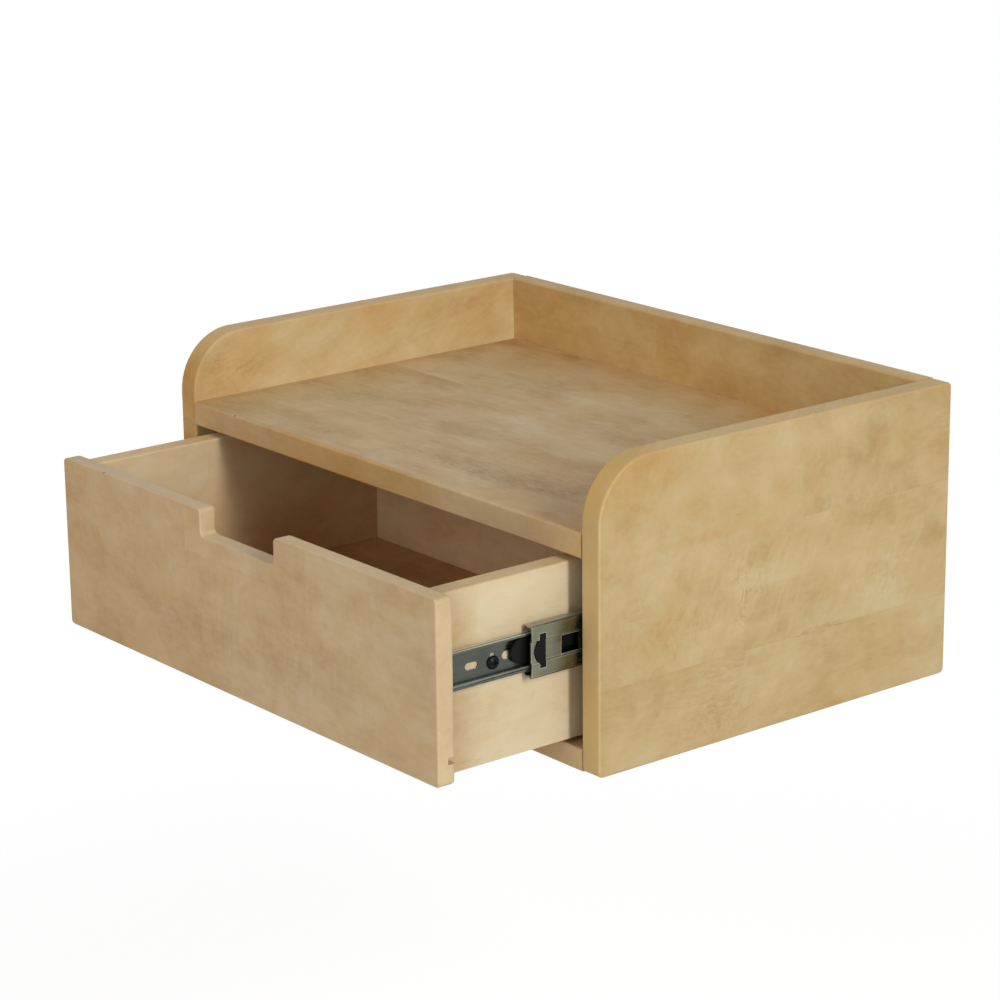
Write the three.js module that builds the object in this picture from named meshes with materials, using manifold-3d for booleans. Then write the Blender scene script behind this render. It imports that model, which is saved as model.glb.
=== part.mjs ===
// A wall-hung nightstand in solid wood: an open shelf with a raised rim over one drawer
// on a pair of telescopic ball-bearing slides, shown with the drawer part open.
// Millimetres, +Z up. The origin is the middle of the underside, the drawer opens towards -Y
// and the back that goes against the wall faces +Y.
import * as THREE from "three";
import { mergeVertices } from "three/addons/utils/BufferGeometryUtils.js";
import Module from "manifold-3d";

const wasm = await Module();
wasm.setup();

// Carcass: two sides, a back between them, a shelf and a bottom.
const carcassWidth = 457;
const carcassDepth = 307;
const carcassHeight = 203;
const sideThickness = 17;
const shelfThickness = 17;
const bottomThickness = 15;
const backThickness = 15;
const rimRise = 47;
const frontCornerRadius = 42;
const panelCornerRadius = 3.5;
const panelEdgeRound = 1.6;
const seam = 0.1;

// Dowels that hold the panels together. Each sits in two blind holes.
const dowelDiameter = 8;
const dowelLength = 30;
const dowelInFace = 11;
const dowelEndSpace = 0.6;
const dowelClearance = 0.3;
const dowelInset = 46;
const backDowelLow = 58;
const backDowelBelowTop = 31;

// Keyhole hanger plates, let in flush with the back.
const hangerLength = 56;
const hangerWidth = 20;
const hangerThickness = 2;
const hangerInset = 78.5;
const hangerBelowTop = 35;
const hangerFit = 0.3;
const keyholeRadius = 5;
const keyholeSlotRadius = 2.6;
const keyholeSlotRise = 11;
const keyholePocketDepth = 7;
const keyholePocketMargin = 1.5;
const hangerScrewInset = 7;

// Drawer: a front inset between the sides, and a box behind it.
const drawerGapSide = 2.5;
const drawerGapBelow = 1;
const drawerGapAbove = 3;
const drawerFrontThickness = 13.5;
const drawerFrontCorner = 3;
const drawerFrontRound = 1.1;
const drawerFrontRearRound = 2.6;
const notchWidth = 82.5;
const notchDepth = 18;
const notchCornerRadius = 3.2;
const drawerSideThickness = 14.5;
const drawerBackThickness = 14.5;
const drawerBoxLength = 250;
const drawerSideBelowTop = 1;
const drawerSideAboveFoot = 2.5;
const drawerEdgeRound = 1.5;
const drawerBottomThickness = 4;
const drawerBottomRise = 11.5;
const grooveDepth = 6;
const grooveFit = 0.3;
const grooveEndSpace = 0.8;
const drawerDowelDiameter = 6;
const drawerDowelLength = 26;
const drawerDowelInFace = 8;
const drawerDowelInset = 26;

// Telescopic slide. Across its thickness, u runs from the drawer side out to the carcass side.
const slideSpace = 13.2;
const slideBelowShelf = 53.3;
const slideLength = 200;
const slideSetback = 16;
const stageTravel = 100;
const drawerMemberSetback = 14.2;
const bumperLength = 6;
const bumperGap = 1;
const drawerMemberHalfHeight = 12;
const ballDiameter = 4.4;
const ballClearance = 0.2;
const ballStagger = 2.25;
const raceDepth = 0.8;
const drawerSheet = 1.2;
const middleSheet = 1;
const cabinetSheet = 1.2;
const cageSheet = 0.6;
const bendRadius = 1;
const outerCageToCabinet = 0.9;
const outerCageToMiddle = 0.5;
const innerCageToMiddle = 0.35;
const innerCageToDrawer = 0.45;
const raceLip = 0.5;
const bandHalfHeight = 7.4;
const bandDepth = 0.9;
const cageArmThickness = 1;
const outerCageLength = 80;
const innerCageLength = 76;
const cageEndMargin = 6;
const innerCageLag = 12;

// Openings, screws and the plastic catch of the slide.
const frontSlotInset = 19.7;
const slotLength = 10.4;
const slotWidth = 4.4;
const slotDrop = 1;
const drawerScrewInset = 36;
const drawerScrewDrop = 2.5;
const screwSlotHeight = 9.4;
const screwSlotDrop = 0.9;
const shortSlotInset = 46.6;
const shortSlotLength = 6.6;
const shortSlotWidth = 5.4;
const rearScrewInset = 35;
const screwShankRadius = 1.6;
const screwHeadRadius = 4.6;
const screwHeadHeight = 2.5;
const screwLength = 13;
const screwPointLength = 3;
const screwFit = 0.3;
const flatScrewHeadRadius = 3.4;
const flatScrewHeadHeight = 1.9;
const recessLength = 4.2;
const recessWidth = 1;
const recessDepth = 1.3;
const windowInset = 24;
const windowLength = 34;
const windowHalfHeight = 6;
const windowRadius = 1;
const catchInset = 2.4;
const catchLength = 8.6;
const catchHalfHeight = 10.8;
const catchHeadLength = 4.7;
const catchHeadHeight = 4;
const catchWave = 4.4;
const catchFit = 0.3;
const catchFlangeThickness = 0.7;
const catchFlangeMargin = 2;
const ridgeReach = 1.6;
const ridgeLength = 4;
const ridgeLow = 8;
const ridgeTop = 1.9;

// Release lever on the drawer member. It tips on a rivet and its tooth meets the catch's ridge.
const leverInset = 48;
const leverPivotInset = 84;
const leverWebGap = 0.3;
const leverThickness = 2.8;
const paddleTop = 9.4;
const paddleLow = 7.2;
const paddleStraight = 8;
const leverArmHalfHeight = 3.8;
const leverHubRadius = 6;
const leverToothLength = 4;
const leverToothTop = 1.6;
const leverToothLow = 4;
const leverToothGap = 0.3;
const leverToothRise = 2.4;
const leverLeafThickness = 1.1;
const leverLeafReach = 13;
const leverLeafTop = 8;
const rivetRadius = 2.4;
const rivetHeadRadius = 4;
const rivetHeadThickness = 0.8;
const rivetFit = 0.3;
const cageOpeningHalfHeight = 7.4;

// Where the photographed drawer stands.
const drawerOpen = 111;
const middleOut = 52.8;

// Fineness of the round shapes.
const overrun = 2;
const dowelSides = 8;
const screwSides = 10;
const largeArcSteps = 14;
const smallArcSteps = 3;
const notchArcSteps = 4;
const bendSteps = 3;
const wideRaceSteps = 4;
const narrowRaceSteps = 3;
const lipSteps = 5;
const leafSteps = 4;
const edgeRoundSteps = 3;
const screwDomeSteps = 4;
const ballAround = 6;
const ballRings = 5;
const mitreShare = 0.5;
const outerBallsPerRow = 5;
const innerBallsPerRow = 4;

// Sizes that follow from the ones above.
const frontY = -carcassDepth / 2;
const backY = carcassDepth / 2;
const innerHalfWidth = carcassWidth / 2 - sideThickness;
const backInnerY = backY - backThickness;
const shelfTop = carcassHeight - rimRise;
const shelfUnderside = shelfTop - shelfThickness;
const slideHeight = shelfUnderside - slideBelowShelf;
const backDowelHigh = carcassHeight - backDowelBelowTop;
const hangerHeight = carcassHeight - hangerBelowTop;
const drawerFrontLow = bottomThickness + drawerGapBelow;
const drawerFrontTop = shelfUnderside - drawerGapAbove;
const drawerFrontWidth = 2 * (innerHalfWidth - drawerGapSide);
const drawerHalfWidth = innerHalfWidth - slideSpace;
const drawerInnerHalfWidth = drawerHalfWidth - drawerSideThickness;
const boxFrontY = frontY + drawerFrontThickness;
const boxBackY = boxFrontY + drawerBoxLength;
const boxLow = drawerFrontLow + drawerSideAboveFoot;
const boxTop = drawerFrontTop - drawerSideBelowTop;
const drawerFloor = boxLow + drawerBottomRise;
const grooveHeight = drawerBottomThickness + 2 * grooveFit;

// The slide's layers, from the carcass side inwards.
const cabinetWebU = slideSpace - cabinetSheet;
const outerCageU = cabinetWebU - outerCageToCabinet - cageSheet;
const middleWebU = outerCageU - outerCageToMiddle - middleSheet;
const bandU = middleWebU - bandDepth;
const innerCageU = bandU - innerCageToMiddle - cageSheet;
const drawerTipU = innerCageU - innerCageToDrawer;

// The balls: the flange between the two stages bends round the inner row and back round the outer.
const ballRadius = ballDiameter / 2;
const raceRadius = ballRadius + ballClearance;
const drawerFlangeZ = drawerMemberHalfHeight - drawerSheet / 2;
const drawerRace = raceRadius + drawerSheet / 2;
const middleRace = raceRadius + middleSheet / 2;
const cabinetRace = raceRadius + cabinetSheet / 2;
const drawerRaceAngle = Math.acos((drawerRace - raceDepth) / drawerRace);
const innerBallU = drawerTipU - raceLip - drawerRace * Math.sin(drawerRaceAngle);
const innerBallZ = drawerFlangeZ - raceDepth + drawerRace;
const outerBallU = innerBallU + ballStagger;
const outerBallZ = innerBallZ + Math.sqrt(4 * middleRace ** 2 - ballStagger ** 2);
const middleFlangeZ = innerBallZ + middleRace;
const cabinetFlangeZ = outerBallZ + cabinetRace;

// Lengthwise places on the slide, with the drawer shut.
const slideFrontY = frontY + slideSetback;
const drawerMemberFrontY = frontY + drawerMemberSetback;
const middleLength = slideLength - bumperLength - bumperGap;
const outerCageY = slideFrontY + cageEndMargin + stageTravel / 2;
const innerCageY = slideFrontY + cageEndMargin + innerCageLag + stageTravel / 2;
const ridgeInset = catchInset + catchLength - ridgeLength + catchFit;
const setbackDifference = slideSetback - drawerMemberSetback;
const leverToothInset = stageTravel + setbackDifference + ridgeInset + ridgeLength + leverToothGap;

const paleWood = new THREE.MeshStandardMaterial({ color: 0xcbb083, roughness: 0.55, metalness: 0 });
const rimWood = new THREE.MeshStandardMaterial({ color: 0xb9935f, roughness: 0.55, metalness: 0 });
const drawerWood = new THREE.MeshStandardMaterial({ color: 0xd8bf96, roughness: 0.6, metalness: 0 });
const plywood = new THREE.MeshStandardMaterial({ color: 0xa98355, roughness: 0.6, metalness: 0 });
const beech = new THREE.MeshStandardMaterial({ color: 0xd9b98a, roughness: 0.7, metalness: 0 });
const brightZinc = new THREE.MeshStandardMaterial({ color: 0x8f8f80, roughness: 0.3, metalness: 1 });
const darkZinc = new THREE.MeshStandardMaterial({ color: 0x5c6567, roughness: 0.35, metalness: 1 });
const blackSteel = new THREE.MeshStandardMaterial({ color: 0x1c1c1c, roughness: 0.4, metalness: 0.8 });
const blackPlastic = new THREE.MeshStandardMaterial({ color: 0x191a1a, roughness: 0.45, metalness: 0 });
const ballSteel = new THREE.MeshStandardMaterial({ color: 0xb8bab6, roughness: 0.15, metalness: 1 });

const quarter = Math.PI / 2;
const degree = Math.PI / 180;

// Extrusion directions: a shape's x, its y and the way it is drawn out.
const axisX = new THREE.Vector3(1, 0, 0);
const axisY = new THREE.Vector3(0, 1, 0);
const axisZ = new THREE.Vector3(0, 0, 1);
const outlineYZ = new THREE.Matrix4().makeBasis(axisY, axisZ, axisX);
const outlineXZ = new THREE.Matrix4().makeBasis(axisX, axisZ, axisY.clone().negate());

// A closed three.js geometry as a solid that can be cut and joined.
function solidOf(geometry) {
  const bare = geometry.clone();
  bare.deleteAttribute("normal");
  bare.deleteAttribute("uv");
  const merged = mergeVertices(bare);
  return new wasm.Manifold(
    new wasm.Mesh({
      numProp: 3,
      vertProperties: new Float32Array(merged.attributes.position.array),
      triVerts: new Uint32Array(merged.index.array),
    }),
  );
}

// A solid as a three.js geometry with flat-shaded faces.
function geometryOf(solid) {
  const mesh = solid.getMesh();
  const geometry = new THREE.BufferGeometry();
  geometry.setAttribute("position", new THREE.BufferAttribute(mesh.vertProperties, 3));
  geometry.setIndex(new THREE.BufferAttribute(mesh.triVerts, 1));
  const flat = geometry.toNonIndexed();
  flat.computeVertexNormals();
  return flat;
}

function cut(solid, tools) {
  return tools.reduce((left, tool) => left.subtract(tool), solid);
}

function join(solids) {
  return solids.reduce((all, solid) => all.add(solid));
}

// A shape drawn out by a length, with its edges rounded when a radius is given.
function drawOut(shape, length, basis, edgeRadius = 0) {
  const geometry = new THREE.ExtrudeGeometry(shape, {
    depth: length - 2 * edgeRadius,
    steps: 1,
    curveSegments: smallArcSteps,
    bevelEnabled: edgeRadius > 0,
    bevelThickness: edgeRadius,
    bevelSize: edgeRadius,
    bevelOffset: -edgeRadius,
    bevelSegments: edgeRoundSteps,
  });
  geometry.translate(0, 0, edgeRadius);
  geometry.applyMatrix4(basis);
  return solidOf(geometry);
}

// A block between two corners.
function block(low, high) {
  const size = high.clone().sub(low);
  const geometry = new THREE.BoxGeometry(size.x, size.y, size.z);
  geometry.translate((low.x + high.x) / 2, (low.y + high.y) / 2, (low.z + high.z) / 2);
  return solidOf(geometry);
}

// A round bar or hole that starts at a point and runs along a direction.
function rod(radius, length, start, direction, sides) {
  const geometry = new THREE.CylinderGeometry(radius, radius, length, sides);
  geometry.translate(0, length / 2, 0);
  geometry.applyQuaternion(new THREE.Quaternion().setFromUnitVectors(axisY, direction));
  geometry.translate(start.x, start.y, start.z);
  return solidOf(geometry);
}

// Points along an arc, ends included.
function arcPoints(x, y, radius, from, to, steps) {
  return Array.from({ length: steps + 1 }, (_, i) => {
    const angle = from + ((to - from) * i) / steps;
    return new THREE.Vector2(x + radius * Math.cos(angle), y + radius * Math.sin(angle));
  });
}

// A rectangle with a radius for each corner, from the lower left one round to the upper left.
function roundedRectangle(x0, y0, x1, y1, radii) {
  const corners = [[x0, y0, 1, 1], [x1, y0, -1, 1], [x1, y1, -1, -1], [x0, y1, 1, -1]];
  return new THREE.Shape(corners.flatMap(([x, y, inX, inY], i) => {
    const radius = radii[i];
    if (radius === 0) return [new THREE.Vector2(x, y)];
    const steps = radius === frontCornerRadius ? largeArcSteps : smallArcSteps;
    const from = (i + 2) * quarter;
    return arcPoints(x + inX * radius, y + inY * radius, radius, from, from + quarter, steps);
  }));
}

// A slot with round ends, centred on the origin, along x when wide and along y when tall.
function slotShape(width, height) {
  const radius = Math.min(width, height) / 2;
  return roundedRectangle(-width / 2, -height / 2, width / 2, height / 2, Array(4).fill(radius));
}

// Dowels: where each one starts, and which way it runs.
// It reaches dowelInFace into the face of one panel and the rest into the end of the other.
const carcassDowels = [];
for (const [place, y] of [["front", frontY + dowelInset], ["rear", backInnerY - dowelInset]]) {
  carcassDowels.push({ name: `shelf_dowel_${place}`, y, z: shelfTop - shelfThickness / 2 });
  carcassDowels.push({ name: `bottom_dowel_${place}`, y, z: bottomThickness / 2 });
}
for (const [place, z] of [["lower", backDowelLow], ["upper", backDowelHigh]]) {
  carcassDowels.push({ name: `back_dowel_${place}`, y: backY - backThickness / 2, z });
}
const drawerDowelHeights = [
  ["lower", boxLow + drawerDowelInset],
  ["upper", boxTop - drawerDowelInset],
];
const drawerBackMidY = boxBackY - drawerBackThickness / 2;
const drawerSideMidX = (drawerHalfWidth + drawerInnerHalfWidth) / 2;

function dowelAlongX(faceX, inFace, diameter, length, y, z) {
  const start = new THREE.Vector3(faceX + inFace, y, z);
  return rod(diameter / 2, length, start, axisX.clone().negate(), dowelSides);
}

function dowelHolesAlongX(faceX, inFace, diameter, length, y, z) {
  const start = new THREE.Vector3(faceX + inFace + dowelEndSpace, y, z);
  const depth = length + 2 * dowelEndSpace;
  return rod(diameter / 2 + dowelClearance, depth, start, axisX.clone().negate(), dowelSides);
}

function carcassDowelHoles() {
  return carcassDowels.map((d) =>
    dowelHolesAlongX(innerHalfWidth, dowelInFace, dowelDiameter, dowelLength, d.y, d.z));
}

// Both ends of a panel that runs from side to side get the same holes.
function cutBothEnds(solid, holes) {
  return cut(solid, [...holes, ...holes.map((hole) => hole.mirror([1, 0, 0]))]);
}

// A side, seen along X: a large round at the upper front, small ones at the other corners.
function sidePanel() {
  const small = panelCornerRadius;
  const radii = [small, small, small, frontCornerRadius];
  const outline = roundedRectangle(frontY, 0, backY, carcassHeight, radii);
  const panel = drawOut(outline, sideThickness, outlineYZ, panelEdgeRound);
  const screws = cabinetScrewPlaces.map((y) => cabinetScrew(screwFit).translate([0, y, 0]));
  return cut(panel.translate([innerHalfWidth, 0, 0]), [...carcassDowelHoles(), ...screws]);
}

// The shelf and the bottom have a rounded front edge and square ends between the sides.
function crossPanel(low, high) {
  const radii = [panelEdgeRound, 0, 0, panelEdgeRound];
  const outline = roundedRectangle(frontY, low, backInnerY - seam, high, radii);
  const length = 2 * (innerHalfWidth - seam);
  const panel = drawOut(outline, length, outlineYZ).translate([-length / 2, 0, 0]);
  return cutBothEnds(panel, carcassDowelHoles());
}

// Hanger plates: a plate, its keyhole and its two screws.
const hangerX = carcassWidth / 2 - hangerInset;
const hangerScrewZ = [hangerHeight - hangerLength / 2 + hangerScrewInset,
  hangerHeight + hangerLength / 2 - hangerScrewInset];
const keyholeZ = hangerHeight - keyholeSlotRise / 2;

function keyholeShape(margin) {
  const round = keyholeRadius + margin;
  const slot = keyholeSlotRadius + margin;
  const meet = Math.asin(slot / round);
  const slotTop = keyholeZ + keyholeSlotRise;
  return new THREE.Shape([
    ...arcPoints(0, keyholeZ, round, quarter + meet, quarter - meet + 4 * quarter, largeArcSteps),
    ...arcPoints(0, slotTop, slot, 0, 2 * quarter, 2 * smallArcSteps),
  ]);
}

function hangerOutline(margin) {
  const halfWidth = hangerWidth / 2 + margin;
  const halfLength = hangerLength / 2 + margin;
  const low = hangerHeight - halfLength;
  const high = hangerHeight + halfLength;
  return roundedRectangle(-halfWidth, low, halfWidth, high, Array(4).fill(halfWidth));
}

// A countersunk screw that starts at the origin, or with a fit its hole, open beyond the head.
function flatScrewAt(tipward, fit) {
  const mouth = fit > 0 ? overrun : 0;
  const profile = [
    new THREE.Vector2(0, -mouth),
    new THREE.Vector2(flatScrewHeadRadius + fit, -mouth),
    ...(fit > 0 ? [new THREE.Vector2(flatScrewHeadRadius + fit, 0)] : []),
    new THREE.Vector2(screwShankRadius + fit, flatScrewHeadHeight),
    new THREE.Vector2(screwShankRadius + fit, screwLength - screwPointLength),
    new THREE.Vector2(0, screwLength + fit),
  ];
  const form = turned(profile, tipward);
  return fit > 0 ? form : form.subtract(crossRecess(0, tipward));
}

// A lathe form whose axis points a given way, starting at the origin.
function turned(profile, direction) {
  const geometry = new THREE.LatheGeometry(profile, screwSides);
  geometry.applyQuaternion(new THREE.Quaternion().setFromUnitVectors(axisY, direction));
  return solidOf(geometry);
}

// The cross that a driver turns a screw by, sunk from the top of its head towards its tip.
function crossRecess(top, tipward) {
  const turn = new THREE.Quaternion().setFromUnitVectors(axisY, tipward);
  return join([[recessLength, recessWidth], [recessWidth, recessLength]].map(([x, z]) => {
    const arm = new THREE.BoxGeometry(x, recessDepth + overrun, z);
    arm.translate(0, top + (recessDepth - overrun) / 2, 0);
    arm.applyQuaternion(turn);
    return solidOf(arm);
  }));
}

function hangerPlate() {
  const plate = drawOut(hangerOutline(0), hangerThickness, outlineXZ).translate([hangerX, backY, 0]);
  const keyhole = drawOut(keyholeShape(0), hangerThickness + 2 * overrun, outlineXZ);
  const screws = hangerScrewZ.map((z) => hangerScrew(screwFit).translate([hangerX, backY, z]));
  return cut(plate, [keyhole.translate([hangerX, backY + overrun, 0]), ...screws]);
}

// A countersunk screw that points into the back, its head flush with the plate.
function hangerScrew(fit) {
  return flatScrewAt(axisY.clone().negate(), fit);
}

function backPanel() {
  const low = seam;
  const length = 2 * (innerHalfWidth - seam);
  const radii = [0, panelEdgeRound, panelEdgeRound, panelEdgeRound];
  const outline = roundedRectangle(backInnerY, low, backY, carcassHeight, radii);
  const panel = drawOut(outline, length, outlineYZ).translate([-length / 2, 0, 0]);
  const plateBed = drawOut(hangerOutline(hangerFit), hangerThickness + hangerFit + overrun, outlineXZ);
  const pocketDepth = hangerThickness + keyholePocketDepth + overrun;
  const pocket = drawOut(keyholeShape(keyholePocketMargin), pocketDepth, outlineXZ);
  const letIn = [
    plateBed.translate([hangerX, backY + overrun, 0]),
    pocket.translate([hangerX, backY + overrun, 0]),
    ...hangerScrewZ.map((z) => hangerScrew(screwFit).translate([hangerX, backY, z])),
  ];
  return cutBothEnds(panel, [...carcassDowelHoles(), ...letIn]);
}

// Drawer front, seen along Y, with the finger notch in its upper edge.
function drawerFrontPanel() {
  const halfWidth = drawerFrontWidth / 2;
  const low = drawerFrontLow;
  const top = drawerFrontTop;
  const corner = drawerFrontCorner;
  const notchHalf = notchWidth / 2;
  const notchFloor = top - notchDepth;
  const round = notchCornerRadius;
  const steps = notchArcSteps;
  const rightHalf = [
    ...arcPoints(halfWidth - corner, low + corner, corner, -quarter, 0, steps),
    ...arcPoints(halfWidth - corner, top - corner, corner, 0, quarter, steps),
    ...arcPoints(notchHalf + round, top - round, round, quarter, 2 * quarter, steps),
    ...arcPoints(notchHalf - round, notchFloor + round, round, 0, -quarter, steps),
  ];
  const leftHalf = rightHalf.map((p) => new THREE.Vector2(-p.x, p.y)).reverse();
  const shape = new THREE.Shape([...rightHalf, ...leftHalf]);
  const rearRounded = drawOut(shape, drawerFrontThickness, outlineXZ, drawerFrontRearRound);
  const frontRounded = drawOut(shape, drawerFrontThickness, outlineXZ, drawerFrontRound);
  const behind = block(
    new THREE.Vector3(-halfWidth - overrun, -drawerFrontThickness / 2, low - overrun),
    new THREE.Vector3(halfWidth + overrun, overrun, top + overrun),
  );
  const panel = frontRounded.subtract(behind).add(rearRounded.intersect(behind));
  const groove = block(
    new THREE.Vector3(-halfWidth - overrun, boxFrontY - grooveDepth, drawerFloor - grooveFit),
    new THREE.Vector3(halfWidth + overrun, boxFrontY + overrun, drawerFloor - grooveFit + grooveHeight),
  );
  const placed = panel.translate([0, boxFrontY - seam, 0]);
  return cutBothEnds(placed.subtract(groove), drawerFrontDowelHoles());
}

function drawerFrontDowelHoles() {
  return drawerDowelHeights.map(([, z]) => {
    const start = new THREE.Vector3(drawerSideMidX, boxFrontY - drawerDowelInFace - dowelEndSpace, z);
    const length = drawerDowelLength + 2 * dowelEndSpace;
    return rod(drawerDowelDiameter / 2 + dowelClearance, length, start, axisY, dowelSides);
  });
}

function drawerBackDowelHoles() {
  return drawerDowelHeights.map(([, z]) => dowelHolesAlongX(
    drawerInnerHalfWidth, drawerDowelInFace, drawerDowelDiameter, drawerDowelLength, drawerBackMidY, z));
}

// The groove that the drawer's bottom slides into, cut along the inner faces of the box.
function bottomGroove() {
  const reach = drawerInnerHalfWidth + grooveDepth;
  return block(
    new THREE.Vector3(-reach, boxFrontY - overrun, drawerFloor - grooveFit),
    new THREE.Vector3(reach, boxBackY - drawerBackThickness + grooveDepth,
      drawerFloor - grooveFit + grooveHeight),
  );
}

function drawerSidePanel() {
  const radii = [0, 0, drawerEdgeRound, drawerEdgeRound];
  const outline = roundedRectangle(drawerInnerHalfWidth, boxLow, drawerHalfWidth, boxTop, radii);
  const panel = drawOut(outline, drawerBoxLength, outlineXZ).translate([0, boxBackY, 0]);
  const screws = drawerScrewPlaces.map((place) =>
    screwPilot(drawerHalfWidth, place.y, place.z, axisX.clone().negate()));
  return cut(panel, [
    bottomGroove(), ...drawerFrontDowelHoles(), ...drawerBackDowelHoles(), ...screws,
  ]);
}

function drawerBackPanel() {
  const halfWidth = drawerInnerHalfWidth - seam;
  const innerY = boxBackY - drawerBackThickness;
  const radii = [0, 0, drawerEdgeRound, drawerEdgeRound];
  const outline = roundedRectangle(innerY, boxLow, boxBackY, boxTop, radii);
  const panel = drawOut(outline, 2 * halfWidth, outlineYZ).translate([-halfWidth, 0, 0]);
  return cutBothEnds(panel.subtract(bottomGroove()), drawerBackDowelHoles());
}

function drawerBottomPanel() {
  const reach = drawerInnerHalfWidth + grooveDepth - grooveEndSpace;
  const backEdge = boxBackY - drawerBackThickness + grooveDepth - grooveEndSpace;
  return block(
    new THREE.Vector3(-reach, boxFrontY - grooveDepth + grooveEndSpace, drawerFloor),
    new THREE.Vector3(reach, backEdge, drawerFloor + drawerBottomThickness),
  );
}

// Screws of the slides. Flat heads hold the cabinet member, pan heads the drawer member.
const cabinetScrewPlaces = [
  slideFrontY + windowInset + windowLength / 2,
  slideFrontY + slideLength - rearScrewInset,
];
const drawerScrewPlaces = [
  { y: drawerMemberFrontY + drawerScrewInset, z: slideHeight - drawerScrewDrop },
  { y: drawerMemberFrontY + slideLength - rearScrewInset, z: slideHeight },
];

// A pilot hole in a panel, from its face at x inwards.
function screwPilot(x, y, z, direction = axisX) {
  const start = new THREE.Vector3(x, y, z).addScaledVector(direction, -overrun);
  return rod(screwShankRadius + screwFit, screwLength + overrun, start, direction, dowelSides);
}

function panScrew() {
  const tipward = axisX.clone().negate();
  const flattening = (screwHeadHeight - seam) / screwHeadRadius;
  const dome = arcPoints(0, 0, screwHeadRadius, quarter, 0, screwDomeSteps)
    .map((p) => new THREE.Vector2(p.x, -seam - p.y * flattening));
  const profile = [
    ...dome,
    new THREE.Vector2(screwShankRadius, -seam),
    new THREE.Vector2(screwShankRadius, screwLength - screwPointLength),
    new THREE.Vector2(0, screwLength - seam),
  ];
  return turned(profile, tipward).subtract(crossRecess(-screwHeadHeight, tipward));
}

// The section of a rolled sheet: its middle line, in u and z, given half the sheet to each side.
function sheetSection(line, sheet) {
  const left = [];
  const right = [];
  line.forEach((point, i) => {
    const before = line[Math.max(i - 1, 0)];
    const after = line[Math.min(i + 1, line.length - 1)];
    const into = point.clone().sub(before).normalize();
    const out = after.clone().sub(point).normalize();
    const along = into.clone().add(out).normalize();
    const cosine = Math.max(along.dot(i > 0 ? into : out), mitreShare);
    const normal = new THREE.Vector2(-along.y, along.x).multiplyScalar(sheet / 2 / cosine);
    left.push(point.clone().add(normal));
    right.push(point.clone().sub(normal));
  });
  return new THREE.Shape([...left, ...right.reverse()]);
}

// The upper half of a middle line, from the web out to the lip, and its mirror image below.
function mirroredLine(upper) {
  const lower = upper.map((p) => new THREE.Vector2(p.x, -p.y)).reverse();
  return [...lower, ...upper];
}

// A member drawn out backwards from its front end.
function rolledMember(line, sheet, length, y) {
  const shape = sheetSection(line, sheet);
  return drawOut(shape, length, outlineXZ).translate([drawerHalfWidth, y + length, slideHeight]);
}

const cabinetLipSweep = 76 * degree;
const middleLipSweep = 72 * degree;

function drawerMemberLine() {
  const webU = drawerSheet / 2 + seam;
  const top = drawerFlangeZ;
  return mirroredLine([
    ...arcPoints(webU + bendRadius, top - bendRadius, bendRadius, 2 * quarter, quarter, bendSteps),
    ...arcPoints(innerBallU, innerBallZ, drawerRace, -quarter - drawerRaceAngle,
      -quarter + drawerRaceAngle, wideRaceSteps),
    new THREE.Vector2(drawerTipU, top),
  ]);
}

function middleMemberLine() {
  const webU = middleWebU + middleSheet / 2;
  const top = middleFlangeZ;
  const meet = Math.atan2(outerBallZ - innerBallZ, ballStagger);
  const rise = Math.acos((outerBallZ - top) / middleRace);
  return mirroredLine([
    new THREE.Vector2(webU - bandDepth, bandHalfHeight - bandDepth),
    new THREE.Vector2(webU, bandHalfHeight),
    ...arcPoints(webU - bendRadius, top - bendRadius, bendRadius, 0, quarter, bendSteps),
    ...arcPoints(outerBallU, outerBallZ, middleRace, -quarter + rise, -2 * quarter + meet,
      narrowRaceSteps),
    ...arcPoints(innerBallU, innerBallZ, middleRace, meet, quarter + middleLipSweep,
      lipSteps).slice(1),
  ]);
}

function cabinetMemberLine() {
  const webU = cabinetWebU + cabinetSheet / 2 - seam;
  const top = cabinetFlangeZ;
  return mirroredLine([
    ...arcPoints(webU - bendRadius, top - bendRadius, bendRadius, 0, quarter, bendSteps),
    ...arcPoints(outerBallU, outerBallZ, cabinetRace, quarter, quarter + cabinetLipSweep,
      wideRaceSteps),
  ]);
}

// A slot or window cut through a web, at a place behind the member's front end.
function throughWeb(shape, frontEnd, inset, z) {
  const reach = slideSpace;
  const tool = drawOut(shape, reach, outlineYZ);
  return tool.translate([drawerHalfWidth - drawerSheet, frontEnd + inset, slideHeight + z]);
}

function drawerMember() {
  const front = drawerMemberFrontY;
  const rearScrew = slideLength - rearScrewInset;
  const body = rolledMember(drawerMemberLine(), drawerSheet, slideLength, front);
  const holes = [
    throughWeb(slotShape(slotLength, slotWidth), front, frontSlotInset, -slotDrop),
    throughWeb(slotShape(slotWidth, screwSlotHeight), front, drawerScrewInset, -screwSlotDrop),
    throughWeb(slotShape(shortSlotLength, shortSlotWidth), front, shortSlotInset, 0),
    throughWeb(slotShape(slotWidth, slotWidth), front, rearScrew, 0),
    throughWeb(slotShape(slotLength, slotWidth), front, rearScrew - frontSlotInset, 0),
  ];
  return cut(body, holes).add(leverRivet());
}

// The rivet that the release lever tips on: a shank through the lever and a flat head over it.
const leverLowU = drawerSheet + seam + leverWebGap;
const leverHighU = leverLowU + leverThickness;

function leverRivet() {
  const headU = leverHighU + leverWebGap;
  const y = drawerMemberFrontY + leverPivotInset;
  const shankStart = new THREE.Vector3(drawerHalfWidth + drawerSheet / 2, y, slideHeight);
  const shankLength = headU + rivetHeadThickness / 2 - drawerSheet / 2;
  const shank = rod(rivetRadius, shankLength, shankStart, axisX, screwSides);
  const headStart = new THREE.Vector3(drawerHalfWidth + headU, y, slideHeight);
  return shank.add(rod(rivetHeadRadius, rivetHeadThickness, headStart, axisX, screwSides));
}

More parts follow.
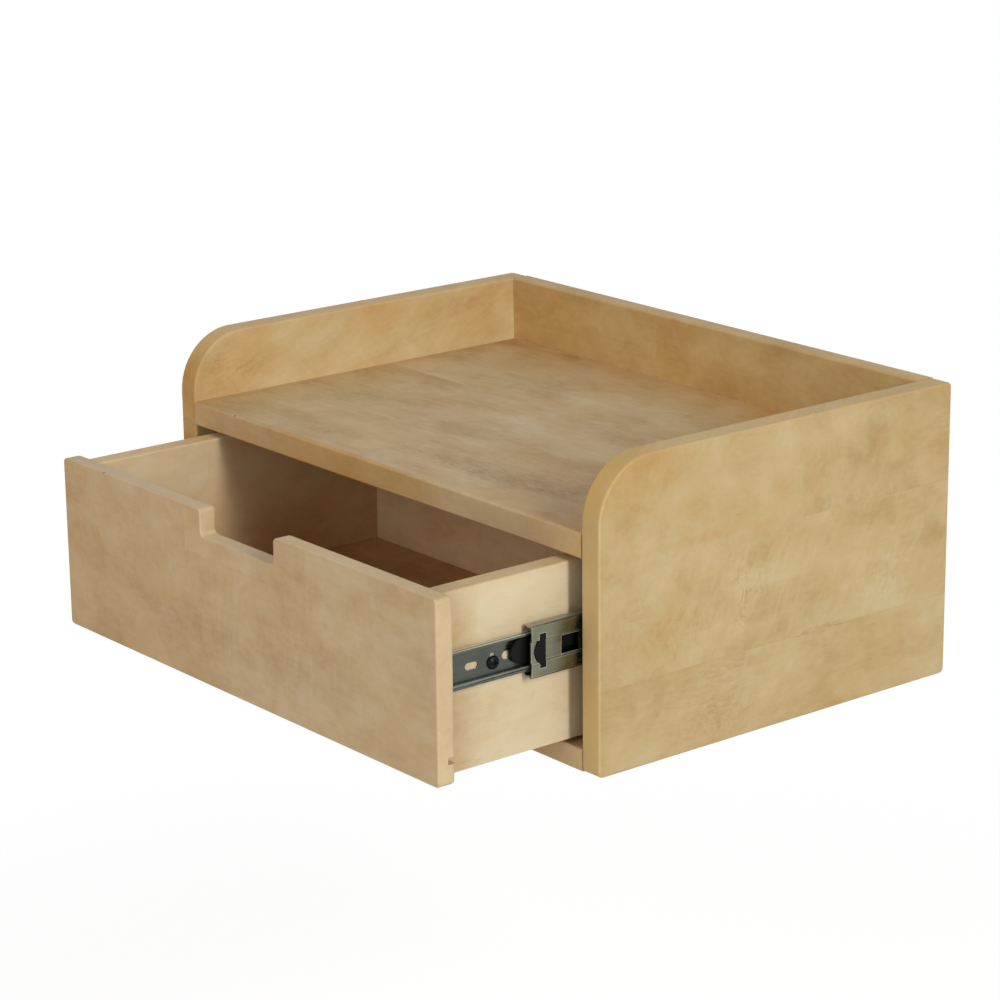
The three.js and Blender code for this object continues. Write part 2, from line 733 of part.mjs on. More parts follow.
// Outline of the opening for the catch: a tall window with a sprung, wavy front edge
// and a wider head at its upper end.
function catchOutline(margin) {
  const front = catchInset - margin;
  const rear = catchInset + catchLength + margin;
  const low = -catchHalfHeight - margin;
  const high = catchHalfHeight + margin;
  const headLow = catchHalfHeight - catchHeadHeight;
  const headFront = rear - catchHeadLength - 2 * margin;
  const waveShares = [0.35, 0.7, 0.95, 1, 0.8, 0.5, 0];
  const shape = new THREE.Shape();
  shape.moveTo(headFront, low);
  shape.lineTo(rear, low);
  shape.lineTo(rear, high);
  shape.lineTo(headFront, high);
  shape.lineTo(headFront, headLow);
  waveShares.forEach((share, i) => {
    const z = headLow - ((headLow + catchHalfHeight - catchHeadHeight / 2) * i) / (waveShares.length - 1);
    shape.lineTo(front + catchWave * (1 - share), z);
  });
  return shape;
}

function middleMember() {
  const body = rolledMember(middleMemberLine(), middleSheet, middleLength, slideFrontY);
  const windowShape = roundedRectangle(0, -windowHalfHeight, windowLength, windowHalfHeight,
    Array(4).fill(windowRadius));
  return cut(body, [
    throughWeb(catchOutline(catchFit), slideFrontY, 0, 0),
    throughWeb(windowShape, slideFrontY, windowInset, 0),
    throughWeb(windowShape, slideFrontY, middleLength - windowInset - windowLength, 0),
  ]);
}

function cabinetMember() {
  const body = rolledMember(cabinetMemberLine(), cabinetSheet, slideLength, slideFrontY);
  const holes = cabinetScrewPlaces.map((y) => cabinetScrew(screwFit).translate([0, y, 0]));
  const middle = slideLength / 2;
  const slot = throughWeb(slotShape(slotLength, slotWidth), slideFrontY, middle, 0);
  return cut(body, [...holes, slot]);
}

// A countersunk screw through the cabinet member's web into the carcass side.
function cabinetScrew(fit) {
  const headX = drawerHalfWidth + cabinetWebU - seam;
  return flatScrewAt(axisX, fit).translate([headX, 0, slideHeight]);
}

// Plastic catch: it fills the window, grips behind the web and carries the ridge for the lever.
function middleCatch() {
  const plugTop = middleWebU + middleSheet - seam;
  const plateTop = bandU - catchFit;
  const plateLow = plateTop - catchFlangeThickness;
  const plug = drawOut(catchOutline(0), plugTop - plateLow, outlineYZ);
  const margin = catchFlangeMargin;
  const flange = block(
    new THREE.Vector3(0, catchInset - margin, -bandHalfHeight - margin),
    new THREE.Vector3(catchFlangeThickness, catchInset + catchLength + margin, bandHalfHeight + margin),
  );
  const ridge = block(
    new THREE.Vector3(-ridgeReach, ridgeInset, -ridgeLow),
    new THREE.Vector3(catchFlangeThickness / 2, ridgeInset + ridgeLength, -ridgeTop),
  );
  return join([plug, flange, ridge]).translate([drawerHalfWidth + plateLow, slideFrontY, slideHeight]);
}

// A cage: a thin plate with an arm along each edge, the balls held in the arms.
function ballCage(plateU, ballU, ballZ, length, y, ballsPerRow) {
  const halfArm = cageArmThickness / 2;
  const plate = block(
    new THREE.Vector3(plateU, y, -ballZ - halfArm),
    new THREE.Vector3(plateU + cageSheet, y + length, ballZ + halfArm),
  );
  const inset = ballDiameter;
  const gap = (length - 2 * inset) / (ballsPerRow - 1);
  const parts = [plate];
  for (const sign of [-1, 1]) {
    parts.push(block(
      new THREE.Vector3(ballU - halfArm, y, sign * ballZ - halfArm),
      new THREE.Vector3(plateU + cageSheet / 2, y + length, sign * ballZ + halfArm),
    ));
    for (let i = 0; i < ballsPerRow; i++) {
      const ball = new THREE.SphereGeometry(ballRadius, ballAround, ballRings);
      ball.rotateX(quarter);
      ball.translate(ballU, y + inset + gap * i, sign * ballZ);
      parts.push(solidOf(ball));
    }
  }
  const openLength = gap * (ballsPerRow - 2);
  const opening = block(
    new THREE.Vector3(plateU - overrun, y + (length - openLength) / 2, -cageOpeningHalfHeight),
    new THREE.Vector3(plateU + cageSheet + overrun, y + (length + openLength) / 2, cageOpeningHalfHeight),
  );
  return join(parts).subtract(opening).translate([drawerHalfWidth, 0, slideHeight]);
}

// Plastic cushion at the rear of the cabinet member, which the middle member closes against.
function rearBumper() {
  const rear = slideFrontY + slideLength - seam;
  const halfHeight = middleFlangeZ;
  return drawOut(
    roundedRectangle(rear - bumperLength, -halfHeight, rear, halfHeight, Array(4).fill(windowRadius)),
    cabinetWebU - 2 * seam - innerCageU, outlineYZ,
  ).translate([drawerHalfWidth + innerCageU, 0, slideHeight]);
}

// Release lever, seen along X: a finger paddle, a hub on the rivet, a leaf spring and a tooth.
function releaseLever() {
  const pivot = leverPivotInset;
  const paddleHalf = (paddleTop + paddleLow) / 2;
  const paddleZ = (paddleTop - paddleLow) / 2;
  const paddleA = leverInset + paddleHalf;
  const arm = leverArmHalfHeight;
  const tail = leverToothInset + leverToothLength;
  const neckA = (paddleA + paddleStraight + pivot - leverHubRadius) / 2;
  const outline = new THREE.Shape();
  outline.absarc(paddleA, paddleZ, paddleHalf, quarter, 3 * quarter, false);
  outline.lineTo(paddleA + paddleStraight, paddleZ - paddleHalf);
  outline.bezierCurveTo(neckA, paddleZ - paddleHalf, neckA, -arm, pivot - leverHubRadius, -arm);
  outline.lineTo(tail - leverToothLength, -leverToothLow);
  outline.lineTo(tail, -leverToothLow);
  outline.lineTo(tail, leverToothLow / 2);
  outline.lineTo(pivot + leverHubRadius, arm);
  outline.lineTo(pivot - leverHubRadius, arm);
  outline.bezierCurveTo(neckA, arm, neckA, paddleZ + paddleHalf, paddleA + paddleStraight,
    paddleZ + paddleHalf);
  const hub = rod(leverHubRadius, leverThickness, new THREE.Vector3(0, pivot, 0), axisX, 2 * dowelSides);
  const hole = rod(rivetRadius + rivetFit, leverThickness + 2 * overrun,
    new THREE.Vector3(-overrun, pivot, 0), axisX, screwSides);
  const tooth = block(
    new THREE.Vector3(leverThickness / 2, leverToothInset, -leverToothLow),
    new THREE.Vector3(leverThickness + leverToothRise, tail, -leverToothTop),
  );
  const plate = drawOut(outline, leverThickness, outlineYZ);
  const body = join([plate, hub, leverLeaf(pivot), tooth]).subtract(hole);
  return body.translate([leverLowU, 0, 0]);
}

// The thin leaf that springs the lever back, rising from the hub towards the upper flange.
function leverLeaf(pivot) {
  const root = new THREE.Vector2(pivot + leverHubRadius / 2, leverHubRadius / 2);
  const tip = new THREE.Vector2(pivot + leverLeafReach, leverLeafTop);
  const bend = new THREE.Vector2(root.x, tip.y);
  const curve = new THREE.QuadraticBezierCurve(root, bend, tip);
  return drawOut(sheetSection(curve.getPoints(leafSteps), leverLeafThickness), leverThickness, outlineYZ);
}

// A mesh in its group, at rest where its solid was drawn.
function place(group, name, solid, material, position = new THREE.Vector3()) {
  const mesh = new THREE.Mesh(geometryOf(solid), material);
  mesh.name = name;
  mesh.position.copy(position);
  group.add(mesh);
  return mesh;
}

const nightstand = new THREE.Group();
const carcass = new THREE.Group();
const drawer = new THREE.Group();
drawer.position.y = -drawerOpen;
nightstand.add(carcass, drawer);

place(carcass, "top_shelf", crossPanel(shelfUnderside, shelfTop), paleWood);
place(carcass, "bottom_panel", crossPanel(0, bottomThickness), paleWood);
place(carcass, "back_panel", backPanel(), rimWood);
place(drawer, "drawer_front", drawerFrontPanel(), paleWood);
place(drawer, "drawer_back", drawerBackPanel(), drawerWood);
place(drawer, "drawer_bottom", drawerBottomPanel(), plywood);

// Everything that comes in pairs is drawn for the right and mirrored for the left.
for (const [side, sign] of [["left", -1], ["right", 1]]) {
  const fixed = new THREE.Group();
  const middle = new THREE.Group();
  const outerCage = new THREE.Group();
  const innerCage = new THREE.Group();
  const running = new THREE.Group();
  fixed.scale.x = sign;
  running.scale.x = sign;
  middle.position.y = -middleOut;
  outerCage.position.y = -middleOut / 2;
  innerCage.position.y = -(middleOut + drawerOpen) / 2;
  fixed.add(middle, outerCage, innerCage);
  carcass.add(fixed);
  drawer.add(running);

  place(fixed, `${side}_side_panel`, sidePanel(), paleWood);
  for (const dowel of carcassDowels) {
    const solid = dowelAlongX(innerHalfWidth, dowelInFace, dowelDiameter, dowelLength, 0, 0);
    place(fixed, `${dowel.name}_${side}`, solid, beech, new THREE.Vector3(0, dowel.y, dowel.z));
  }
  place(fixed, `hanger_plate_${side}`, hangerPlate(), brightZinc);
  ["lower", "upper"].forEach((level, i) => {
    const spot = new THREE.Vector3(hangerX, backY - seam, hangerScrewZ[i]);
    place(fixed, `hanger_screw_${level}_${side}`, hangerScrew(0), brightZinc, spot);
  });

  place(running, `drawer_side_${side}`, drawerSidePanel(), drawerWood);
  for (const [level, z] of drawerDowelHeights) {
    const start = new THREE.Vector3(drawerSideMidX, boxFrontY - drawerDowelInFace, 0);
    const frontDowel = rod(drawerDowelDiameter / 2, drawerDowelLength, start, axisY, dowelSides);
    place(running, `drawer_front_dowel_${level}_${side}`, frontDowel, beech, new THREE.Vector3(0, 0, z));
    const backDowel = dowelAlongX(
      drawerInnerHalfWidth, drawerDowelInFace, drawerDowelDiameter, drawerDowelLength, 0, 0);
    const spot = new THREE.Vector3(0, drawerBackMidY, z);
    place(running, `drawer_back_dowel_${level}_${side}`, backDowel, beech, spot);
  }

  place(fixed, `slide_cabinet_member_${side}`, cabinetMember(), brightZinc);
  place(fixed, `slide_rear_bumper_${side}`, rearBumper(), blackPlastic);
  ["front", "rear"].forEach((end, i) => {
    const spot = new THREE.Vector3(0, cabinetScrewPlaces[i], 0);
    place(fixed, `cabinet_screw_${end}_${side}`, cabinetScrew(0), brightZinc, spot);
  });
  place(middle, `slide_middle_member_${side}`, middleMember(), brightZinc);
  place(middle, `slide_catch_${side}`, middleCatch(), blackPlastic);
  const outerBalls = ballCage(
    outerCageU, outerBallU, outerBallZ, outerCageLength, outerCageY, outerBallsPerRow);
  const innerBalls = ballCage(
    innerCageU, innerBallU, innerBallZ, innerCageLength, innerCageY, innerBallsPerRow);
  place(outerCage, `outer_ball_cage_${side}`, outerBalls, ballSteel);
  place(innerCage, `inner_ball_cage_${side}`, innerBalls, ballSteel);
  place(running, `slide_drawer_member_${side}`, drawerMember(), darkZinc);
  const leverSpot = new THREE.Vector3(drawerHalfWidth, drawerMemberFrontY, slideHeight);
  place(running, `release_lever_${side}`, releaseLever(), blackPlastic, leverSpot);
  ["front", "rear"].forEach((end, i) => {
    const screw = drawerScrewPlaces[i];
    const spot = new THREE.Vector3(drawerHalfWidth + drawerSheet + 2 * seam, screw.y, screw.z);
    place(running, `drawer_screw_${end}_${side}`, panScrew(), blackSteel, spot);
  });
}

export default nightstand;
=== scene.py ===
# %% [markdown]
# # A wall-hung nightstand with one drawer
# The real object is a small box of solid pale wood that hangs on a wall: an open shelf with a rim
# round three sides, over a drawer on telescopic ball-bearing slides. Its shapes come finished from
# a CAD model, so Blender only has to dress them, with light, a camera and the looks of stained
# wood, zinc plate, steel and black plastic. Everything is in metres, and the drawer opens
# towards -Y.

# %% Load the finished shapes
import math
import bpy
from mathutils import Matrix, Vector

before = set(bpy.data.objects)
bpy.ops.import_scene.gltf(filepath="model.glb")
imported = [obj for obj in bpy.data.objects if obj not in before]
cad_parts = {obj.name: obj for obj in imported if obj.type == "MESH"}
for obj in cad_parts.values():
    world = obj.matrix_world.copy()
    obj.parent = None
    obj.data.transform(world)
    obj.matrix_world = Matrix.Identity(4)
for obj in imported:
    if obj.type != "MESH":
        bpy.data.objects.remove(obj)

bpy.context.view_layer.update()
print("pieces from the CAD model:", len(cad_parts))

# %% [markdown]
# ## Camera
# A product photograph is taken from far away with a long lens, which keeps upright edges nearly
# parallel. The camera's place, its turn round the object, its tilt and its slight roll were
# worked out from the corners of the object in the photograph. Building the camera's axes from
# these angles keeps each value readable, where a matrix of numbers would hide them.

# %% Camera
camera_place = Vector((1.6438, -1.3671, 0.72707))
camera_turn = math.radians(51.228)
camera_tilt = math.radians(16.320)
camera_roll = math.radians(-0.646)
lens_mm = 115.68
sensor_mm = 36


def camera_axes():
    """The camera's right, up and backward directions."""
    back = Vector((math.sin(camera_turn) * math.cos(camera_tilt),
                   -math.cos(camera_turn) * math.cos(camera_tilt), math.sin(camera_tilt)))
    level = Vector((math.cos(camera_turn), math.sin(camera_turn), 0))
    above = back.cross(level)
    right = level * math.cos(camera_roll) + above * math.sin(camera_roll)
    up = above * math.cos(camera_roll) - level * math.sin(camera_roll)
    return right, up, back


camera = bpy.data.objects.new("camera", bpy.data.cameras.new("camera"))
bpy.context.collection.objects.link(camera)
camera.data.lens = lens_mm
camera.data.sensor_width = sensor_mm
axes = Matrix(camera_axes()).transposed().to_4x4()
camera.matrix_world = Matrix.Translation(camera_place) @ axes
bpy.context.scene.camera = camera
bpy.context.scene.view_settings.view_transform = "Standard"
print("camera is", round(camera_place.length, 2), "m from the object")

# %% [markdown]
# ## Nodes written as sums
# A material is a tree of nodes. Placing dozens of Math nodes by hand hides what they work out,
# so one small class wraps a socket and lets Python's own signs add the nodes, and a second one
# adds every other kind of node through a single method.

# %% Sockets that can be calculated with
class Socket:
    """A node's output. Sums and comparisons on it add Math nodes to its tree."""

    def __init__(self, finish, end):
        self.finish = finish
        self.end = end

    def math(self, operation, first, second=0.0, clamped=False):
        settings = {"operation": operation, "use_clamp": clamped}
        return self.finish.node("Math", settings, {0: first, 1: second})

    def __add__(self, other):
        return self.math("ADD", self, other)

    def __sub__(self, other):
        return self.math("SUBTRACT", self, other)

    def __rsub__(self, other):
        return self.math("SUBTRACT", other, self)

    def __mul__(self, other):
        return self.math("MULTIPLY", self, other)

    def __truediv__(self, other):
        return self.math("DIVIDE", self, other)

    def __gt__(self, other):
        return self.math("GREATER_THAN", self, other)

    def __lt__(self, other):
        return self.math("LESS_THAN", self, other)

    def __abs__(self):
        return self.math("ABSOLUTE", self)

    def __pow__(self, other):
        return self.math("POWER", self, other)

    __radd__ = __add__
    __rmul__ = __mul__

    def clamped(self):
        """The same value, kept between 0 and 1."""
        return self.math("ADD", self, 0.0, clamped=True)


# %% Trees that take any node
noise_middle = 0.5
arris_samples = 4


class Finish:
    """The node tree of one material, or of the world."""

    def __init__(self, name, owner=None):
        self.owner = owner or bpy.data.materials.new(name)
        self.owner.use_nodes = True
        self.tree = self.owner.node_tree
        self.tree.nodes.clear()

    def node(self, kind, settings=None, inputs=None, output=0):
        """Adds a node: its settings first, then the values or links of its sockets."""
        node = self.tree.nodes.new("ShaderNode" + kind)
        for key, value in (settings or {}).items():
            if key == "stops":
                self.set_stops(node.color_ramp.elements, value)
            else:
                setattr(node, key, value)
        for key, value in (inputs or {}).items():
            if isinstance(value, Socket):
                self.tree.links.new(value.end, node.inputs[key])
            else:
                node.inputs[key].default_value = value
        if isinstance(output, tuple):
            return [Socket(self, node.outputs[each]) for each in output]
        return Socket(self, node.outputs[output]) if node.outputs else None

    @staticmethod
    def set_stops(elements, stops):
        while len(elements) < len(stops):
            elements.new(1.0)
        for element, (position, shade) in zip(elements, stops):
            element.position = position
            element.color = shade

    def vector(self, x, y, z):
        return self.node("CombineXYZ", inputs={0: x, 1: y, 2: z})

    def split(self, vector):
        """The vector's three numbers, each under the name of its axis."""
        return dict(zip("XYZ", self.node("SeparateXYZ", inputs={0: vector}, output=(0, 1, 2))))

    def noise(self, place, detail=2, roughness=0.5, distortion=0.0, scale=1.0):
        """Noise that swings about 0, by half at the most."""
        sockets = {"Vector": place, "Scale": scale, "Detail": detail,
                   "Roughness": roughness, "Distortion": distortion}
        return self.node("TexNoise", inputs=sockets) - noise_middle

    def arris(self, reach, growth):
        """1 on the piece's sharp edges, falling to 0 on its faces: where a normal that is rounded
        off over the reach turns away from the true one."""
        rounded = self.node("Bevel", {"samples": arris_samples}, {"Radius": reach})
        true = self.node("NewGeometry", output="Normal")
        product = {"operation": "DOT_PRODUCT"}
        level = self.node("VectorMath", product, {0: rounded, 1: true}, output="Value")
        return ((1 - level) * growth).clamped()

    def background_rays(self):
        """1 for the rays that show what is behind the object, 0 for those that light it."""
        kinds = ("Is Camera Ray", "Is Glossy Ray", "Is Transmission Ray")
        seen, mirrored, through = self.node("LightPath", output=kinds)
        return (seen + mirrored + through).clamped()

    def ramp(self, share, *stops):
        return self.node("ValToRGB", {"stops": stops}, {0: share})

    def mix(self, share, first, second, way="MIX"):
        settings = {"data_type": "RGBA", "blend_type": way}
        return self.node("Mix", settings, {0: share, 6: first, 7: second}, output=2)

    def bump(self, height, strength, distance):
        sockets = {"Strength": strength, "Distance": distance, "Height": height}
        return self.node("Bump", inputs=sockets)

    def surface(self, **inputs):
        """Closes the tree with a Principled BSDF, whose sockets are named with _ for a space."""
        named = {key.replace("_", " "): value for key, value in inputs.items()}
        shader = self.node("BsdfPrincipled", inputs=named)
        self.node("OutputMaterial", inputs={"Surface": shader})
        return self.owner


# %% Colours
white = (1, 1, 1, 1)


def colour(written):
    """A colour written as six hex digits, as the linear values that Blender reckons with."""
    parts = [int(written[i:i + 2], 16) / 255 for i in (0, 2, 4)]
    linear = [p / 12.92 if p <= 0.04045 else ((p + 0.055) / 1.055) ** 2.4 for p in parts]
    return (*linear, 1.0)


def scaled(tone, factor, lift=0.0):
    """A paler or darker form of a tone."""
    return (*(factor * part + lift for part in tone[:3]), 1.0)


# %% [markdown]
# ## Studio light
# The photograph has soft light from all sides, a tall narrow lamp far to the right that makes the
# outer side the brightest face and throws the rim's shadow on the shelf, and a large pale light
# from the front. A sky of even light and two soft lamps do the same. A share of 1 is the light at
# which a colour shows as it is written, so the shares that reach any one face add up to about 1.

# %% Sky and lamps
sky_share = 0.38
sky_tint = (1.0, 0.99, 0.98, 1.0)
key_share = 0.50
key_tint = (1.0, 0.99, 0.96)
key_direction = (1.0, -0.10, 0.43)
key_distance = 2.6
key_size = (0.34, 1.10)
front_share = 0.26
front_tint = (1.0, 0.995, 0.99)
front_direction = (0.15, -1.0, 0.37)
front_distance = 2.8
front_size = (1.4, 1.4)

world = bpy.data.worlds.new("studio")
bpy.context.scene.world = world
sky = Finish("studio", world)
dome = sky.node("Background", inputs={"Color": sky_tint, "Strength": sky_share})
backdrop = sky.node("Background", inputs={"Color": white, "Strength": 1.0})
shown = sky.node("MixShader", inputs={0: sky.background_rays(), 1: dome, 2: backdrop})
sky.node("OutputWorld", inputs={"Surface": shown})


def softbox(name, direction, distance, size, share, tint):
    """An oblong lamp that lights a face turned to it with a share of full light. A flat lamp's
    power is spread over pi times the square of its distance, and a matt face sends back its
    light spread over pi again, so the power makes up for both."""
    lamp = bpy.data.objects.new(name, bpy.data.lights.new(name, "AREA"))
    bpy.context.collection.objects.link(lamp)
    lamp.data.shape = "RECTANGLE"
    lamp.data.size, lamp.data.size_y = size
    lamp.data.energy = share * math.pi ** 2 * distance ** 2
    lamp.data.color = tint
    towards = Vector(direction).normalized()
    lamp.location = towards * distance
    lamp.rotation_euler = towards.to_track_quat("Z", "Y").to_euler()
    print(name, "has", round(lamp.data.energy, 1), "W")


softbox("key_lamp", key_direction, key_distance, key_size, key_share, key_tint)
softbox("front_lamp", front_direction, front_distance, front_size, front_share, front_tint)

# %% [markdown]
# ## Floor
# The nightstand hangs, so the floor lies well below it. Its paint is pale. To the camera it adds
# the light that brings it up to white, the shadow that falls on it stays, and further out it
# turns into plain white. Seen from below it is clear, so that the underside can be inspected too.

# %% Floor
floor_depth = 0.45
floor_reach = 6.0
floor_grey = (0.8, 0.8, 0.8, 1.0)
floor_seen_grey = (0.34, 0.34, 0.34, 1.0)
floor_lift = 0.80
fade_start = 0.55
fade_length = 0.45

floor_mesh = bpy.data.meshes.new("floor")
floor_corners = [(-floor_reach, -floor_reach, 0), (floor_reach, -floor_reach, 0),
                 (floor_reach, floor_reach, 0), (-floor_reach, floor_reach, 0)]
floor_mesh.from_pydata(floor_corners, [], [(0, 1, 2, 3)])
floor = bpy.data.objects.new("floor", floor_mesh)
floor.location.z = -floor_depth
bpy.context.collection.objects.link(floor)

paint = Finish("floor_paint")
bounced = paint.node("BsdfDiffuse", inputs={"Color": floor_grey})
shaded = paint.node("BsdfDiffuse", inputs={"Color": floor_seen_grey})
lift = paint.node("Emission", inputs={"Color": white, "Strength": floor_lift})
lifted = paint.node("AddShader", inputs={0: shaded, 1: lift})
plain_white = paint.node("Emission", inputs={"Color": white, "Strength": 1.0})
spot = paint.node("TexCoord", output="Object")
away = paint.node("VectorMath", {"operation": "LENGTH"}, {0: spot}, output="Value")
fade = ((away - fade_start) / fade_length).clamped()
faded = paint.node("MixShader", inputs={0: fade, 1: lifted, 2: plain_white})
top = paint.node("MixShader", inputs={0: paint.background_rays(), 1: bounced, 2: faded})
below = paint.node("NewGeometry", output="Backfacing")
clear = paint.node("BsdfTransparent")
both = paint.node("MixShader", inputs={0: below, 1: top, 2: clear})
paint.node("OutputMaterial", inputs={"Surface": both})
floor.data.materials.append(paint.owner)
print("floor lies", floor_depth, "m below and turns white", fade_start + fade_length, "m away")

# %% [markdown]
# ## Wood
# The boards are a pale, even hardwood, stained and lacquered by hand: soft clouds and mottling
# from warm tan to pale straw, faint streaks and pores along the grain, patches of curled figure,
# thin glue lines where narrow boards meet, stain that sits darker on end grain and narrow edges,
# and sharp edges painted paler in broken lines, a painted highlight. An image of wood would repeat
# and stretch.
# Noise in the board's own coordinates, squeezed across the grain, runs through the solid as real
# fibres do.

# %% Scales of the wood, in cycles a metre along and across the grain
cloud_scale = (14, 26)
mottle_scale = (38, 52)
band_scale = (3, 45)
speckle_scale = (120, 260)
streak_scale = (14, 420)
pore_scale = (90, 1500)
curl_scale = (110, 32)
crackle_scale = (120, 70)
fleck_scale = (160, 620)
stain_scale = (14, 22)
print("pores are about", round(1000 / pore_scale[1], 1), "mm apart")

# %% How much each part of the figure changes the shade, which runs from 0 to 1
middle_shade = 0.5
cloud_amount = 0.58
mottle_amount = 0.40
band_amount = 0.10
streak_amount = 0.06
speckle_amount = 0.21
curl_growth = 1.5
crackle_slope = -1.6
crackle_top = 0.1
fleck_slope = 4
fleck_middle = 0.45
pore_start = 0.14
pore_shade = 0.8
nick_shade = 1.5
glue_shade = 0.08
glue_half_width = 0.0003
joint_fade = 0.12
board_shift = 0.09

# %% Stain, the painted highlight on sharp edges, and lacquer
warm_tone = colour("f0cf9c")
stain_amount = 0.9
stain_mottle = 0.3
# A painted highlight along the sharp edges, broken up by the mottle
wood_arris = 0.0012
wood_arris_growth = 3
arris_highlight = 0.3
glint_break_slope = 3
glint_break_middle = 0.5
lacquer_roughness = 0.55
streak_gloss = 0.3
pore_roughness = 1.5
streak_height = 0.6
pore_depth = 3
mottle_height = 0.5
wood_bump = 0.12
wood_relief = 0.0003
lacquer_shine = 0.25


# %% Grain of one board
class Grain(Finish):
    """The tree of one board, or of boards glued side by side. The place along the grain is u,
    across it v and through the board w."""

    def __init__(self, name, along, across, joints, tints, tinted_strips, seed, slant):
        super().__init__(name)
        place, facing = self.node("TexCoord", output=("Object", "Normal"))
        self.by_axis = self.split(place)
        turned = self.split(facing)
        through = ({"X", "Y", "Z"} - {along, across}).pop()
        self.u, self.v, self.w = self.by_axis[along], self.by_axis[across], self.by_axis[through]
        self.end = abs(turned[along]) ** 2
        self.edge = abs(turned[across]) ** 2
        board = self.join_boards(joints, tints)
        self.tint_strips(tinted_strips)
        self.shifted_u = self.u + seed
        self.leaning_v = self.u * slant + self.v
        self.shifted_w = board * board_shift + self.w + seed

    def join_boards(self, joints, tints):
        """Finds the number of the board at each place, with its tint and the glue lines."""
        board = 0.0
        self.tint = tints[0]
        self.glue = 0.0
        for (joint, start), before, after in zip(joints, tints, tints[1:]):
            there = ((self.u - start) / joint_fade).clamped()
            beyond = (self.v > joint) * there
            board = beyond + board
            self.tint = beyond * (after - before) + self.tint
            self.glue = (abs(self.v - joint) < glue_half_width) * there + self.glue
        return board

    def tint_strips(self, tinted_strips):
        """Tints strips that start sharply at one place along the grain and fade out further on:
        boards let in at an end joint, and a painted shade behind the drawer front.
        """
        for u0, u1, v0, v1, extra in tinted_strips:
            fading = ((u1 - self.u) / (u1 - u0)).clamped()
            within = (self.u > u0) * (self.v > v0) * (self.v < v1) * fading
            self.tint = within * extra + self.tint

    def fibres(self, scale, detail=2, roughness=0.5, distortion=0.0):
        """Noise with one scale along the grain and another across it."""
        along, across = scale
        place = self.vector(self.shifted_u * along, self.leaning_v * across,
                            self.shifted_w * across)
        return self.noise(place, detail, roughness, distortion)

    def patch(self, u0, v0, long, wide):
        """1 at the middle of an oval, falling to 0 at its rim."""
        distance = ((self.u - u0) / long) ** 2 + ((self.v - v0) / wide) ** 2
        return (1 - distance).clamped()


# %% Figure and marks, which each change the shade
def curled(grain, shade, curls, lean):
    """Waves across the grain, which lean over."""
    if not curls:
        return shade
    along, across = curl_scale
    leaning_u = grain.v * lean + grain.u
    place = grain.vector(leaning_u * along, grain.v * across, grain.shifted_w * across)
    waves = grain.noise(place, detail=3, roughness=0.6, distortion=1.4)
    for *spot, strength in curls:
        grown = (grain.patch(*spot) * curl_growth).clamped()
        shade = grown * waves * strength + shade
    return shade


def crackled(grain, shade, crackles):
    """Thin pale lines, where the noise passes through 0."""
    if not crackles:
        return shade
    lines = abs(grain.fibres(crackle_scale, detail=4, roughness=0.6, distortion=2.2))
    lines = lines * crackle_slope + crackle_top
    for *spot, strength in crackles:
        shade = grain.patch(*spot) * lines * strength + shade
    return shade


def flecked(grain, shade, flecks):
    """Short brown marks along the grain."""
    if not flecks:
        return shade
    marks = grain.fibres(fleck_scale, detail=4, roughness=0.7, distortion=0.6)
    marks = (marks * fleck_slope + fleck_middle).clamped()
    for *spot, dark in flecks:
        shade = shade - grain.patch(*spot) * marks * dark
    return shade


def nicked(grain, shade, nicks):
    """Small dark chips."""
    for u0, v0, w0, radius in nicks:
        distance = ((grain.u - u0) ** 2 + (grain.v - v0) ** 2 + (grain.w - w0) ** 2) ** 0.5
        shade = shade - (distance < radius) * nick_shade
    return shade


# %% Stain and painted warm shade, from 0 for none to 1 for the full warm tone
def stain_and_shade_of(grain, mottle, warmth, stain_and_shade_bands, glows, end_stain, edge_stain):
    """How much warm tone each place has, as stain and as painted shade: clouds of it, bands, end
    grain, edges and glows.
    """
    stain_and_shade = grain.fibres(stain_scale) * stain_amount + warmth - mottle * stain_mottle
    for axis, at, reach, amount in stain_and_shade_bands:
        stain_and_shade = (1 - abs(grain.by_axis[axis] - at) / reach).clamped() * amount + stain_and_shade
    if edge_stain is not None:
        stain_and_shade = (edge_stain - stain_and_shade) * grain.edge + stain_and_shade
    for *spot, amount in glows:
        stain_and_shade = grain.patch(*spot) * amount + stain_and_shade
    return (grain.end * end_stain + stain_and_shade).clamped()


